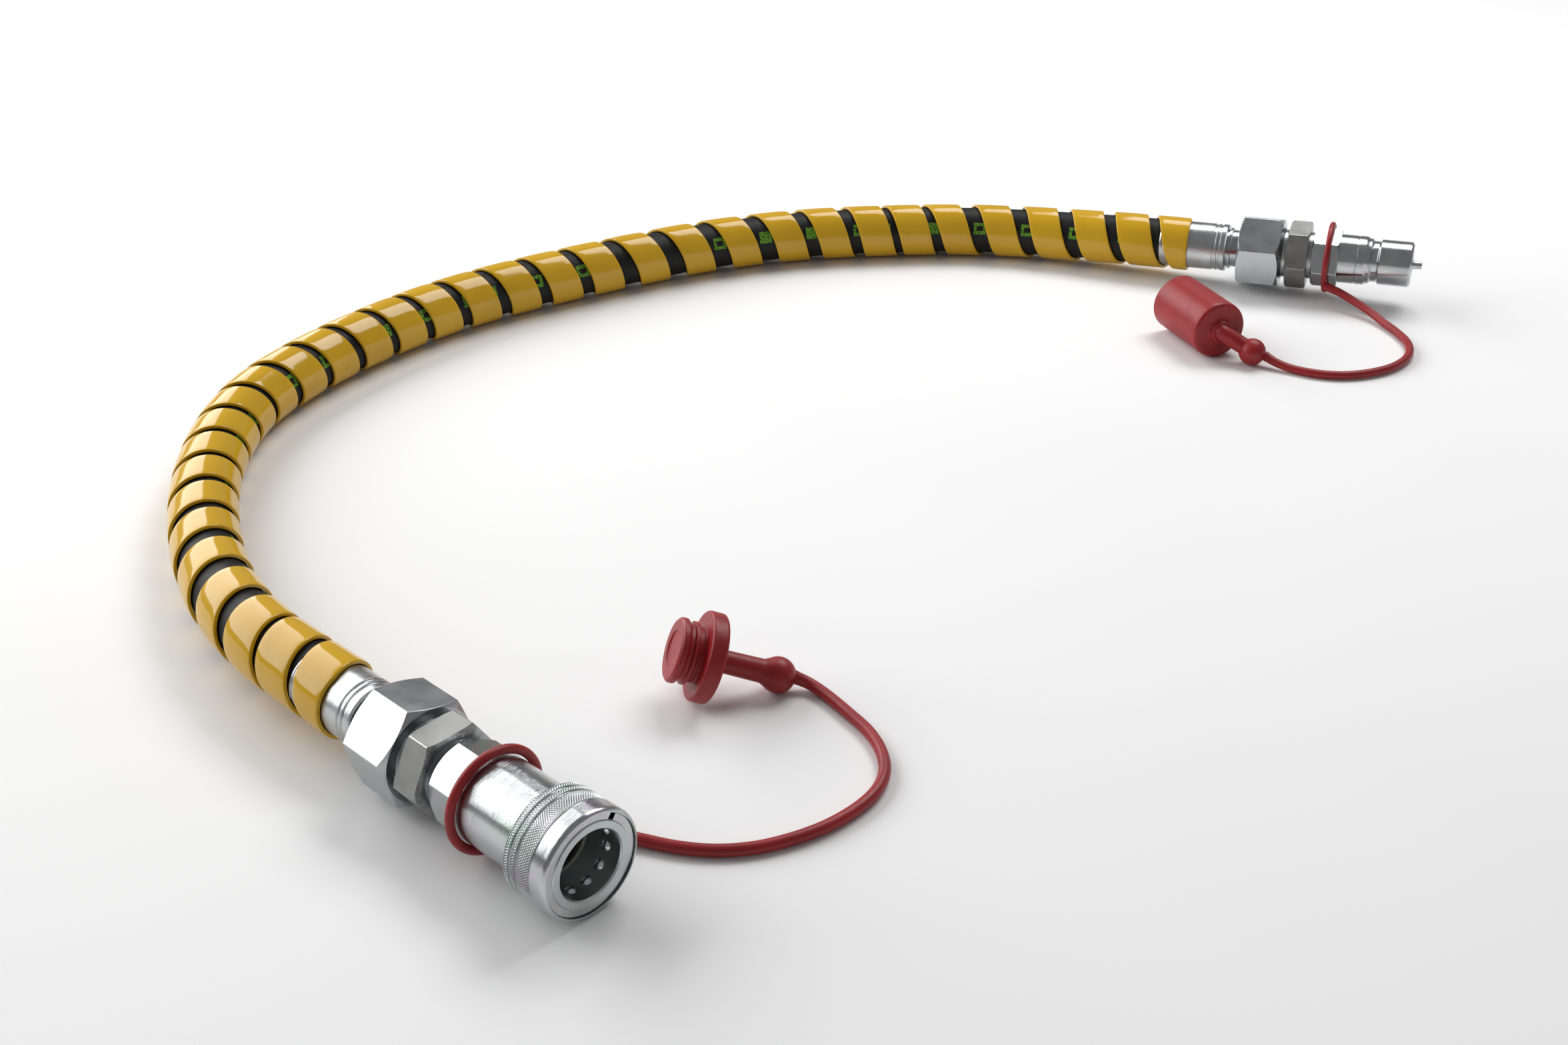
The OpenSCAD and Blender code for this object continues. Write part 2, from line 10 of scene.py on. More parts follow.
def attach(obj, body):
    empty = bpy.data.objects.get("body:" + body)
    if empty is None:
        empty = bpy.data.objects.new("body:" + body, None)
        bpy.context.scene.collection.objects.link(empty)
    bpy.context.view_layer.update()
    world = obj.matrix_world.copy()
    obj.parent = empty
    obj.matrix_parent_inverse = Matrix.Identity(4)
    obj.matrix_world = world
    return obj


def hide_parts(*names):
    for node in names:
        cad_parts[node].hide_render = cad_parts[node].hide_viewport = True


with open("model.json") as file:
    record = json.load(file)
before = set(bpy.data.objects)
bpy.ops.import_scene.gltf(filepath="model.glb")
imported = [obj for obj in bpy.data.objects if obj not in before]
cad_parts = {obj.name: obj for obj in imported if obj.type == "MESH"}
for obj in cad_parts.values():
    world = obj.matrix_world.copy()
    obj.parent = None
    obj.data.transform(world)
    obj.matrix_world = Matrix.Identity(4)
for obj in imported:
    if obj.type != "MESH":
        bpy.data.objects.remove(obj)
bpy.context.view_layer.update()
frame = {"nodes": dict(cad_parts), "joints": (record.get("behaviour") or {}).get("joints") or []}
NODES = frame["nodes"]
JOINTS = {joint["name"]: joint for joint in frame["joints"]}

MM = 0.001
ROOT_BODY = "hose_assembly"

# ---------------------------------------------------------------- camera

CAMERA_AT = (-0.050, -0.957, 0.5045)
CAMERA_TILT = 61.0
CAMERA_LENS = 42.86


def make_camera():
    data = bpy.data.cameras.new("camera")
    data.lens = CAMERA_LENS
    data.sensor_width = 36.0
    data.clip_start, data.clip_end = 0.01, 50
    camera = bpy.data.objects.new("camera", data)
    camera.location = CAMERA_AT
    camera.rotation_euler = (math.radians(CAMERA_TILT), 0, 0)
    bpy.context.scene.collection.objects.link(camera)
    bpy.context.scene.camera = camera


make_camera()

# ---------------------------------------------------------------- routes, in metres

HOSE_ROUTE = [
    (-0.279, -0.227, 0.0255), (-0.297, -0.208, 0.0252), (-0.319, -0.178, 0.0235),
    (-0.339, -0.141, 0.0212), (-0.356, -0.098, 0.0194), (-0.369, -0.052, 0.0188),
    (-0.376, -0.008, 0.0187), (-0.377, 0.036, 0.0187), (-0.371, 0.076, 0.0187),
    (-0.356, 0.114, 0.0187), (-0.336, 0.150, 0.0187), (-0.310, 0.187, 0.0187),
    (-0.279, 0.222, 0.0187), (-0.243, 0.253, 0.0187), (-0.203, 0.281, 0.0187),
    (-0.160, 0.308, 0.0187), (-0.115, 0.333, 0.0187), (-0.068, 0.352, 0.0187),
    (-0.020, 0.364, 0.0187), (0.030, 0.370, 0.0187), (0.080, 0.372, 0.0187),
    (0.125, 0.366, 0.0194), (0.168, 0.353, 0.0213), (0.206, 0.338, 0.0239),
]
PLUG_CORD_ROUTE = [
    (-0.046, -0.212, 0.0075), (-0.038, -0.213, 0.004), (-0.030, -0.221, 0.003),
    (-0.020, -0.236, 0.003), (-0.011, -0.251, 0.003), (-0.006, -0.266, 0.003),
    (-0.005, -0.281, 0.003), (-0.009, -0.295, 0.003), (-0.018, -0.308, 0.003),
    (-0.031, -0.320, 0.003), (-0.046, -0.329, 0.003), (-0.062, -0.335, 0.003),
    (-0.078, -0.337, 0.003), (-0.094, -0.335, 0.003), (-0.110, -0.330, 0.003),
    (-0.125, -0.325, 0.0035), (-0.139, -0.321, 0.0055), (-0.150, -0.319, 0.009),
    (-0.157, -0.3195, 0.0095),
]
CAP_CORD_ROUTE = [
    (0.265, 0.166, 0.007), (0.272, 0.160, 0.0045), (0.281, 0.154, 0.003),
    (0.294, 0.147, 0.003), (0.310, 0.144, 0.003), (0.327, 0.147, 0.003),
    (0.344, 0.155, 0.003), (0.357, 0.167, 0.003), (0.365, 0.181, 0.003),
    (0.368, 0.197, 0.003), (0.366, 0.214, 0.003), (0.361, 0.231, 0.0035),
    (0.356, 0.243, 0.0055), (0.348, 0.254, 0.0085), (0.339, 0.2635, 0.0118),
    (0.3297, 0.2701, 0.0143),
]
HOSE_OD = 32.4 * MM
PLUG_CORD_D = 5.8 * MM
CAP_CORD_D = 5.4 * MM
RUN_IN = 70 * MM
FERRULE_START = 21 * MM


def end_frame(joint, station):
    """Frame of a fitting: +Z along its axis from the ferrule's mouth, +X down, +Y to the side."""
    z = Vector(JOINTS[joint]["axis"]).normalized()
    y = Vector((0, 0, 1)).cross(z).normalized()
    x = y.cross(z)
    root = Vector(JOINTS[joint]["pos_m"]) - z * station * MM
    m = Matrix((x, y, z)).transposed().to_4x4()
    m.translation = root
    return m


SOCKET = end_frame("socket_nut_turn", 91)
PLUG = end_frame("plug_nut_turn", 91)


def axis_of(m):
    return np.array(m.col[2][:3])


def smooth_line(points, first, last, per_span):
    """Catmull-Rom curve through the points, with the directions given at both ends."""
    p = np.array(points, float)
    p = np.vstack([p[0] - first, p, p[-1] + last])
    out = []
    for i in range(1, len(p) - 2):
        a, b, c, d = p[i - 1:i + 3]
        for t in np.arange(per_span) / per_span:
            out.append(0.5 * (2 * b + (c - a) * t + (2 * a - 5 * b + 4 * c - d) * t * t
                              + (3 * b - 3 * c + d - a) * t ** 3))
    out.append(p[-2])
    return np.array(out)


class Rail:
    """A smooth line that is read by the distance along it."""

    def __init__(self, points):
        self.p = np.array(points, float)
        self.s = np.concatenate([[0], np.cumsum(np.linalg.norm(np.diff(self.p, axis=0), axis=1))])
        self.length = self.s[-1]

    def at(self, s):
        return np.stack([np.interp(s, self.s, self.p[:, k]) for k in range(3)], -1)

    def frames(self, s, reach=0.0015):
        s = np.asarray(s, float)
        lo, hi = np.clip(s - reach, 0, self.length), np.clip(s + reach, 0, self.length)
        t = self.at(hi) - self.at(lo)
        t /= np.linalg.norm(t, axis=-1, keepdims=True)
        side = np.cross(t, [0, 0, 1])
        side /= np.linalg.norm(side, axis=-1, keepdims=True)
        return self.at(s), side, np.cross(side, t)

    def round(self, s, radius, angle):
        """Points round the line, the angle turning from the side over the bottom."""
        at, side, up = self.frames(s)
        a, r = np.asarray(angle)[..., None], np.asarray(radius)[..., None]
        return at + r * (np.cos(a) * side - np.sin(a) * up)


LEAD = 0.024
free_hose = smooth_line(HOSE_ROUTE, -LEAD * axis_of(SOCKET), LEAD * axis_of(PLUG), 24)
HOSE = Rail(np.vstack([free_hose[0] + RUN_IN * axis_of(SOCKET), free_hose,
                       free_hose[-1] + RUN_IN * axis_of(PLUG)]))


def cord_rail(route):
    p = np.array(route)
    end = (p[-1] - p[-2]) / np.linalg.norm(p[-1] - p[-2]) * MM
    return Rail(smooth_line(route, p[1] - p[0], end, 12))


# ---------------------------------------------------------------- mesh tools

def new_object(name, verts, faces, uvs=None, material=None, matrix=None, sharp=38.0, merge=True):
    mesh = bpy.data.meshes.new(name)
    mesh.from_pydata(verts, [], faces)
    if uvs is not None:
        layer = mesh.uv_layers.new(name="UVMap")
        layer.data.foreach_set("uv", np.asarray(uvs, np.float32).ravel())
    obj = bpy.data.objects.new(name, mesh)
    bpy.context.scene.collection.objects.link(obj)
    if matrix is not None:
        obj.matrix_world = matrix
    if merge:
        work = bmesh.new()
        work.from_mesh(mesh)
        bmesh.ops.remove_doubles(work, verts=work.verts, dist=1e-6)
        bmesh.ops.dissolve_degenerate(work, edges=work.edges, dist=1e-7)
        bmesh.ops.delete(work, geom=[edge for edge in work.edges if edge.is_wire], context="EDGES")
        work.to_mesh(mesh)
        work.free()
    mesh.polygons.foreach_set("use_smooth", [True] * len(mesh.polygons))
    mesh.set_sharp_from_angle(angle=math.radians(sharp))
    for m in (material if isinstance(material, (list, tuple)) else [material]):
        if m:
            mesh.materials.append(m)
    return obj


def grid(points, u=None, v=None, wrap_rows=False, wrap_cols=True, flip=False):
    """Vertices, faces and loop uvs of a net of points, rows by columns."""
    rows, cols = points.shape[:2]
    n_rows, n_cols = rows if wrap_rows else rows - 1, cols if wrap_cols else cols - 1
    i, j = np.meshgrid(np.arange(n_rows), np.arange(n_cols), indexing="ij")
    i, j = i.ravel(), j.ravel()
    i1, j1 = i + 1, j + 1
    corner = [(i, j), (i, j1), (i1, j1), (i1, j)]
    if flip:
        corner = corner[::-1]
    faces = np.stack([(a % rows) * cols + (b % cols) for a, b in corner], 1)
    uvs = None
    if u is not None:
        uvs = np.stack([np.stack([u[np.minimum(a, len(u) - 1)] if u.ndim == 1 else u[a, b],
                                  v[np.minimum(b, len(v) - 1)] if v.ndim == 1 else v[a, b]], -1)
                        for a, b in corner], 1)
    return points.reshape(-1, 3), faces, uvs


def fillet(profile, radius, steps=3, support=0.06, closed=True):
    """Rounds the corners of a profile of (r, z) points, in mm; every corner gives as many points."""
    p = np.array([q[:2] for q in profile], float)
    out = []
    n = len(p)
    for k in range(n):
        b = p[k]
        if not closed and k in (0, n - 1):
            out.append(b)
            continue
        a, c = p[k - 1], p[(k + 1) % n]
        da, dc = a - b, c - b
        la, lc = np.linalg.norm(da), np.linalg.norm(dc)
        rad = profile[k][2] if len(profile[k]) > 2 else radius
        if la < 1e-6 or lc < 1e-6 or b[0] < 1e-6:
            out += [b] * (steps + 3)
            continue
        da, dc = da / la, dc / lc
        turn = math.acos(max(-1, min(1, float(da @ dc))))
        if turn > math.radians(176):
            out += [b] * (steps + 3)
            continue
        cut = min(rad / math.tan(turn / 2), 0.45 * la, 0.45 * lc)
        r = cut * math.tan(turn / 2)
        start, end = b + da * cut, b + dc * cut
        bis = (da + dc) / np.linalg.norm(da + dc)
        centre = b + bis * (r / math.sin(turn / 2))
        v0, v1 = start - centre, end - centre
        sweep = math.atan2(v0[0] * v1[1] - v0[1] * v1[0], float(v0 @ v1))
        extra = min(support, 0.04 * la, 0.04 * lc)
        out.append(start + da * extra)
        for t in range(steps + 1):
            w = sweep * t / steps
            out.append(centre + np.array([v0[0] * math.cos(w) - v0[1] * math.sin(w),
                                          v0[0] * math.sin(w) + v0[1] * math.cos(w)]))
        out.append(end + dc * extra)
    return np.array(out)


def area(profile):
    p = np.array([q[:2] for q in profile])
    x, y = p[:, 0], p[:, 1]
    return float(np.sum(x * np.roll(y, -1) - np.roll(x, -1) * y)) / 2


def revolve(profiles, angles):
    """Net from one profile per angle; each profile is an array of (r, z) in mm."""
    prof = np.stack(profiles, 1)                      # rows, cols, 2
    a = np.asarray(angles)
    pts = np.stack([prof[..., 0] * np.cos(a), prof[..., 0] * np.sin(a), prof[..., 1]], -1) * MM
    length = np.concatenate([[0], np.cumsum(np.linalg.norm(np.diff(prof[:, 0], axis=0), axis=1))]) * MM
    u = np.append(length, length[-1] + np.linalg.norm(prof[0, 0] - prof[-1, 0]) * MM)
    v = np.append(a, a[0] + 2 * math.pi) / (2 * math.pi)
    return grid(pts, u, v, wrap_rows=True, wrap_cols=True, flip=False)


def lathe(name, profile, matrix, material, radius=0.2, steps=3, cols=128, sharp=38.0):
    """Turned piece from a closed profile of (r, z[, corner radius]) points in mm."""
    if area(profile) < 0:
        profile = profile[::-1]
    p = fillet(profile, radius, steps)
    angles = np.arange(cols) * 2 * math.pi / cols
    return new_object(name, *revolve([p] * cols, angles), material, matrix, sharp)


SIDE_SAMPLES = np.array([-30, -29.75, -29.3, -28.6, -27, -24, -20, -15, -10, -5, 0, 5, 10, 15, 20, 24,
                         27, 28.6, 29.3, 29.75])
EDGE_SOFTNESS = 150.0
CHAMFER_SLOPE = 1 / 1.7


def hexagon(name, profile_of, af, span, turn, matrix, materials, radius=0.25, sharp=38.0):
    """Turned piece with a hexagon: profile_of(r) gives the profile where the hexagon's radius is r.
    Faces on the six flats take the first material, all others the second."""
    angles, profiles = [], []
    for side in range(6):
        for t in SIDE_SAMPLES:
            c = np.cos(np.radians(t + 60 * np.arange(-1, 2)))
            r = af / 2 / (np.log(np.sum(np.exp(EDGE_SOFTNESS * c))) / EDGE_SOFTNESS)
            angles.append(math.radians(turn + 30 + 60 * side + t))
            prof = profile_of(r)
            profiles.append(fillet(prof if area(prof) > 0 else prof[::-1], radius))
    obj = new_object(name, *revolve(profiles, angles), materials, matrix, sharp)
    for poly in obj.data.polygons:
        n = poly.normal
        heading = math.degrees(math.atan2(n.y, n.x)) - turn - 30
        off = abs((heading + 30) % 60 - 30)
        z, r = poly.center.z / MM, math.hypot(poly.center.x, poly.center.y) / MM
        on_flat = abs(n.z) < 0.05 and off < 6 and span[0] < z < span[1] and r > af / 2.4
        poly.material_index = 0 if on_flat else 1
        poly.use_smooth = not on_flat
    return obj


def hex_rows(r, af, start, end, chamfer_start, chamfer_end, slope_start=CHAMFER_SLOPE):
    """Points of the hexagon's outside, from its lower to its upper face."""
    corner = af / math.sqrt(3)
    f0, f1 = corner - chamfer_start / slope_start, corner - 1.7 * chamfer_end
    drop0, drop1 = max(0, r - f0) * slope_start, max(0, r - f1) * CHAMFER_SLOPE
    return [(min(r, f0) - 0.001, start), (r, start + drop0), (r, end - drop1), (min(r, f1) - 0.001, end)]


def sweep(name, rail, stations, radius_of, sides, material, uv_scale=1.0, sharp=60.0):
    """Closed tube along a rail; radius_of gives the radius at each distance."""
    s = np.asarray(stations)
    a = np.arange(sides) * 2 * math.pi / sides
    pts = rail.round(s[:, None], radius_of(s)[:, None], a[None, :])
    u = s * uv_scale
    v = np.append(a, 2 * math.pi) / (2 * math.pi)
    verts, faces, uvs = grid(pts, u, v)
    faces, uvs = faces.tolist(), uvs.reshape(-1, 2).tolist()
    n = len(s)
    for row, order in ((0, range(sides - 1, -1, -1)), (n - 1, range(sides))):
        faces.append([row * sides + k for k in order])
        uvs += [[u[row], k / sides] for k in order]
    return new_object(name, verts, faces, uvs, material, None, sharp, merge=False)


# ---------------------------------------------------------------- materials

class Shader:
    """Short hand for building a node material."""

    def __init__(self, name):
        self.mat = bpy.data.materials.new(name)
        self.mat.use_nodes = True
        self.tree = self.mat.node_tree
        self.bsdf = next(n for n in self.tree.nodes if n.type == "BSDF_PRINCIPLED")

    def node(self, kind, **settings):
        n = self.tree.nodes.new(kind)
        for key, value in settings.items():
            setattr(n, key, value)
        return n

    def link(self, a, b):
        self.tree.links.new(a, b)

    def set(self, **values):
        for key, value in values.items():
            self.bsdf.inputs[key.replace("_", " ")].default_value = value

    def coords(self, kind="Object"):
        return self.node("ShaderNodeTexCoord").outputs[kind]

    def scaled(self, vector, scale):
        m = self.node("ShaderNodeMapping")
        m.inputs["Scale"].default_value = scale
        self.link(vector, m.inputs["Vector"])
        return m.outputs[0]

    def noise(self, vector, scale, detail=2.0, rough=0.5, distortion=0.0):
        n = self.node("ShaderNodeTexNoise")
        n.inputs["Scale"].default_value = scale
        n.inputs["Detail"].default_value = detail
        n.inputs["Roughness"].default_value = rough
        n.inputs["Distortion"].default_value = distortion
        self.link(vector, n.inputs["Vector"])
        return n.outputs["Fac"]

    def ramp(self, fac, low, high, a=0.0, b=1.0):
        n = self.node("ShaderNodeMapRange", clamp=True)
        for key, value in zip(("From Min", "From Max", "To Min", "To Max"), (low, high, a, b)):
            n.inputs[key].default_value = value
        self.link(fac, n.inputs["Value"])
        return n.outputs["Result"]

    def math(self, op, a, b=None, c=None):
        n = self.node("ShaderNodeMath", operation=op)
        for k, value in enumerate((a, b, c)):
            if value is None:
                continue
            if isinstance(value, (int, float)):
                n.inputs[k].default_value = value
            else:
                self.link(value, n.inputs[k])
        return n.outputs[0]

    def mix(self, fac, a, b):
        n = self.node("ShaderNodeMix", data_type="RGBA")
        for key, value in ((0, fac), (6, a), (7, b)):
            if isinstance(value, (int, float)):
                n.inputs[key].default_value = value
            elif isinstance(value, tuple):
                n.inputs[key].default_value = (*value[:3], 1.0)
            else:
                self.link(value, n.inputs[key])
        return n.outputs[2]

    def bump(self, height, strength, distance):
        n = self.node("ShaderNodeBump")
        n.inputs["Strength"].default_value = strength
        n.inputs["Distance"].default_value = distance
        self.link(height, n.inputs["Height"])
        if self.bsdf.inputs["Normal"].is_linked:
            self.link(self.bsdf.inputs["Normal"].links[0].from_socket, n.inputs["Normal"])
        self.link(n.outputs["Normal"], self.bsdf.inputs["Normal"])

    def colour(self, socket):
        self.link(socket, self.bsdf.inputs["Base Color"])

    def roughness(self, socket):
        self.link(socket, self.bsdf.inputs["Roughness"])


def srgb(r, g, b):
    return tuple(((c / 255 + 0.055) / 1.055) ** 2.4 if c > 10 else c / 255 / 12.92 for c in (r, g, b))


def guard_material():
    s = Shader("guard_plastic")
    at = s.coords()
    cloud = s.noise(at, 22, 3)
    fine = s.noise(at, 900, 3)
    scuff = s.ramp(s.noise(s.scaled(at, (60, 60, 240)), 6, 4, 0.6), 0.58, 0.72)
    s.colour(s.mix(s.ramp(cloud, 0.3, 0.7), srgb(204, 158, 28), srgb(214, 168, 36)))
    s.roughness(s.math("ADD", s.ramp(fine, 0.3, 0.7, 0.09, 0.13), s.math("MULTIPLY", scuff, 0.08)))
    s.set(IOR=1.5, Specular_IOR_Level=0.42)
    s.bump(fine, 0.03, 0.0002)
    s.bump(s.noise(at, 70, 2), 0.04, 0.0008)
    return s.mat


def cover_material():
    s = Shader("hose_rubber")
    uv = s.coords("UV")
    at = s.coords()
    wrap = s.noise(s.scaled(uv, (900, 10, 1)), 1, 3, 0.6)
    weave = s.noise(at, 1500, 2)
    # Two rows of green dashes and blocks run along the hose, in place of the maker's lettering
    sep = s.node("ShaderNodeSeparateXYZ")
    s.link(uv, sep.inputs[0])
    along, around = sep.outputs[0], sep.outputs[1]
    cell = s.math("MULTIPLY", along, 1 / 0.0185)
    frac = s.math("FRACT", cell)
    pick = s.node("ShaderNodeTexWhiteNoise", noise_dimensions="1D")
    s.link(s.math("FLOOR", cell), pick.inputs["W"])
    inside = s.math("MULTIPLY", s.math("GREATER_THAN", frac, 0.2), s.math("LESS_THAN", frac, 0.72))
    band = s.math("LESS_THAN", s.math("ABSOLUTE", s.math("SUBTRACT", around, PRINT_AT)), 0.042)
    hollow = s.math("MULTIPLY",
                    s.math("LESS_THAN", s.math("ABSOLUTE", s.math("SUBTRACT", around, PRINT_AT)), 0.018),
                    s.math("MULTIPLY", s.math("GREATER_THAN", frac, 0.32), s.math("LESS_THAN", frac, 0.6)))
    picked = s.math("GREATER_THAN", pick.outputs["Value"], 0.35)
    bar = s.math("SUBTRACT", 1.0, s.math("MULTIPLY", hollow, picked))
    ink = s.math("MULTIPLY", s.math("MULTIPLY", inside, band),
                 s.math("MULTIPLY", bar, s.math("GREATER_THAN", pick.outputs["Value"], 0.16)))
    ink = s.math("MULTIPLY", ink, s.ramp(s.noise(at, 1100, 3), 0.38, 0.52))
    base = s.mix(s.ramp(s.noise(at, 60, 3), 0.3, 0.7), (0.006, 0.006, 0.006), (0.012, 0.012, 0.012))
    s.colour(s.mix(ink, base, srgb(104, 160, 44)))
    s.roughness(s.ramp(weave, 0.3, 0.7, 0.42, 0.58))
    s.set(Specular_IOR_Level=0.22)
    s.bump(wrap, 0.25, 0.0006)
    s.bump(weave, 0.2, 0.0003)
    return s.mat


PRINT_AT = 0.935


def metal(name, light, dark, rough, grain, lines, tint=0.0, grain_scale=1400, blotch=60):
    """Plated steel: blotches of tone, a fine grain, and turning lines along the uv's first axis."""
    s = Shader(name)
    at = s.coords()
    uv = s.coords("UV")
    cloud = s.noise(at, blotch, 4, 0.55)
    base = s.mix(s.ramp(cloud, 0.32, 0.68), dark, light)
    if tint:
        hue = s.noise(s.scaled(at, (1, 1, 0.7)), 75, 2)
        base = s.mix(s.ramp(hue, 0.52, 0.66, 0, tint), base, (0.50, 0.68, 0.56))
        base = s.mix(s.ramp(hue, 0.46, 0.34, 0, tint), base, (0.66, 0.52, 0.70))
    s.colour(base)
    fine = s.noise(at, grain_scale, 3, 0.6)
    sep = s.node("ShaderNodeSeparateXYZ")
    s.link(uv, sep.inputs[0])
    sep2 = s.node("ShaderNodeSeparateXYZ")
    s.link(at, sep2.inputs[0])
    comb = s.node("ShaderNodeCombineXYZ")
    s.link(s.math("MULTIPLY", sep.outputs[0], 5200), comb.inputs[0])
    s.link(s.math("MULTIPLY", sep2.outputs[0], 90), comb.inputs[1])
    s.link(s.math("MULTIPLY", sep2.outputs[1], 90), comb.inputs[2])
    turned = s.noise(comb.outputs[0], 1, 3, 0.65)
    spread = s.math("ADD", s.ramp(cloud, 0.3, 0.7, rough * 0.85, rough * 1.15),
                    s.math("MULTIPLY", s.math("SUBTRACT", turned, 0.5), lines * 0.6))
    s.roughness(s.math("ADD", spread, s.math("MULTIPLY", s.math("SUBTRACT", fine, 0.5), grain * 0.5)))
    s.set(Metallic=1.0)
    if grain:
        s.bump(fine, grain, 0.0002)
    if lines:
        s.bump(turned, lines, 0.00025)
    return s.mat


def red_material():
    s = Shader("red_pvc")
    at = s.coords()
    cloud = s.noise(at, 45, 3)
    fine = s.noise(at, 700, 3, 0.6)
    lines = s.noise(s.scaled(at, (30, 900, 30)), 1, 4, 0.7, 1.2)
    scratch = s.math("MULTIPLY", s.ramp(lines, 0.66, 0.70), s.ramp(s.noise(at, 30, 2), 0.52, 0.62))
    base = s.mix(s.ramp(cloud, 0.3, 0.7), srgb(138, 18, 24), srgb(158, 26, 31))
    s.colour(s.mix(s.math("MULTIPLY", scratch, 0.35), base, srgb(196, 110, 108)))
    s.roughness(s.math("ADD", s.ramp(fine, 0.3, 0.7, 0.36, 0.5), s.math("MULTIPLY", scratch, 0.15)))
    s.set(Specular_IOR_Level=0.45, Subsurface_Weight=0.06, Subsurface_Scale=0.002)
    s.bsdf.inputs["Subsurface Radius"].default_value = (1.0, 0.25, 0.2)
    s.bump(fine, 0.12, 0.0004)
    s.bump(s.noise(at, 120, 2), 0.15, 0.0010)
    return s.mat


def seal_material():
    s = Shader("seal_rubber")
    at = s.coords()
    fine = s.noise(at, 1200, 3)
    s.colour(s.mix(s.ramp(fine, 0.3, 0.7), (0.008, 0.008, 0.008), (0.02, 0.02, 0.02)))
    s.roughness(s.ramp(fine, 0.3, 0.7, 0.3, 0.45))
    s.bump(fine, 0.1, 0.0002)
    return s.mat


def ptfe_material():
    s = Shader("white_plastic")
    at = s.coords()
    fine = s.noise(at, 800, 3)
    s.colour(s.mix(s.ramp(fine, 0.3, 0.7), srgb(214, 212, 200), srgb(232, 230, 222)))
    s.roughness(s.ramp(fine, 0.3, 0.7, 0.4, 0.55))
    s.bump(fine, 0.1, 0.0002)
    return s.mat


def floor_material():
    s = Shader("pale_floor")
    at = s.coords()
    s.colour(s.mix(s.ramp(s.noise(at, 3, 2), 0.3, 0.7), (0.90, 0.90, 0.90), (0.93, 0.93, 0.93)))
    s.set(Roughness=0.9, Specular_IOR_Level=0.1)
    return s.mat


GUARD = guard_material()
COVER = cover_material()
RED = red_material()
SEAL = seal_material()
PTFE = ptfe_material()
NUT_FLAT = metal("satin_zinc_flat", (0.53, 0.55, 0.56), (0.47, 0.49, 0.50), 0.30, 0.12, 0.0)
NUT_TURNED = metal("satin_zinc_turned", (0.52, 0.54, 0.55), (0.40, 0.42, 0.43), 0.22, 0.06, 0.22)
FERRULE = metal("ferrule_zinc", (0.60, 0.61, 0.62), (0.46, 0.47, 0.48), 0.24, 0.05, 0.30)
ROLLED = metal("rolled_steel_flat", (0.34, 0.34, 0.33), (0.24, 0.24, 0.24), 0.46, 0.55, 0.0, grain_scale=2200)
ROLLED_TURNED = metal("rolled_steel_turned", (0.44, 0.46, 0.46), (0.32, 0.34, 0.34), 0.26, 0.1, 0.25)
POLISHED = metal("polished_zinc", (0.58, 0.60, 0.61), (0.46, 0.48, 0.49), 0.15, 0.03, 0.30, tint=0.30)
POLISHED_FLAT = metal("polished_zinc_flat", (0.58, 0.59, 0.60), (0.46, 0.47, 0.48), 0.20, 0.10, 0.0,
                      tint=0.30)
BORE = metal("bore_steel", (0.62, 0.67, 0.66), (0.50, 0.55, 0.54), 0.36, 0.05, 0.0)
DARK = metal("dark_steel", (0.36, 0.38, 0.39), (0.26, 0.27, 0.28), 0.30, 0.08, 0.0)
SPRING = metal("spring_steel", (0.66, 0.66, 0.67), (0.50, 0.50, 0.51), 0.25, 0.05, 0.0)
BALL = metal("ball_steel", (0.80, 0.81, 0.83), (0.70, 0.71, 0.73), 0.09, 0.0, 0.0)
WIRE = metal("hose_wire", (0.66, 0.60, 0.48), (0.50, 0.46, 0.38), 0.3, 0.1, 0.0)


# ---------------------------------------------------------------- hose and guard

def done(obj, body, slot, *nodes):
    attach(obj, body)
    if nodes:
        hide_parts(*nodes)
    return obj


def make_hose():
    start, end = RUN_IN - FERRULE_START + 0.0003, HOSE.length - RUN_IN + FERRULE_START - 0.0003
    s = np.linspace(start, end, 340)
    obj = sweep("hose_cover_look", HOSE, s, lambda x: np.full_like(x, HOSE_OD / 2), 72, COVER)
    done(obj, ROOT_BODY, "hose_rubber", "hose_cover")


GUARD_OD = 37.4
GUARD_WALL = 1.7
GUARD_STRIP = 24.0
GUARD_TIP = 1.5
GUARD_FIRST, GUARD_LAST = 22.5, 1145.0
# Turns of the strip at distances along the hose's line, in mm
GUARD_TURNS = [
    (5, -0.24), (22.5, 0.3), (60, 1.51), (100, 2.92), (140, 3.97), (180, 4.99),
    (220, 6.09), (270, 7.66), (330, 9.64), (400, 11.93), (480, 14.44), (560, 16.99),
    (640, 19.44), (700, 21.23), (760, 22.83), (840, 24.95), (900, 26.69), (960, 28.71),
    (1020, 30.33), (1080, 32.06), (1145, 34.13), (1165, 34.76),
]


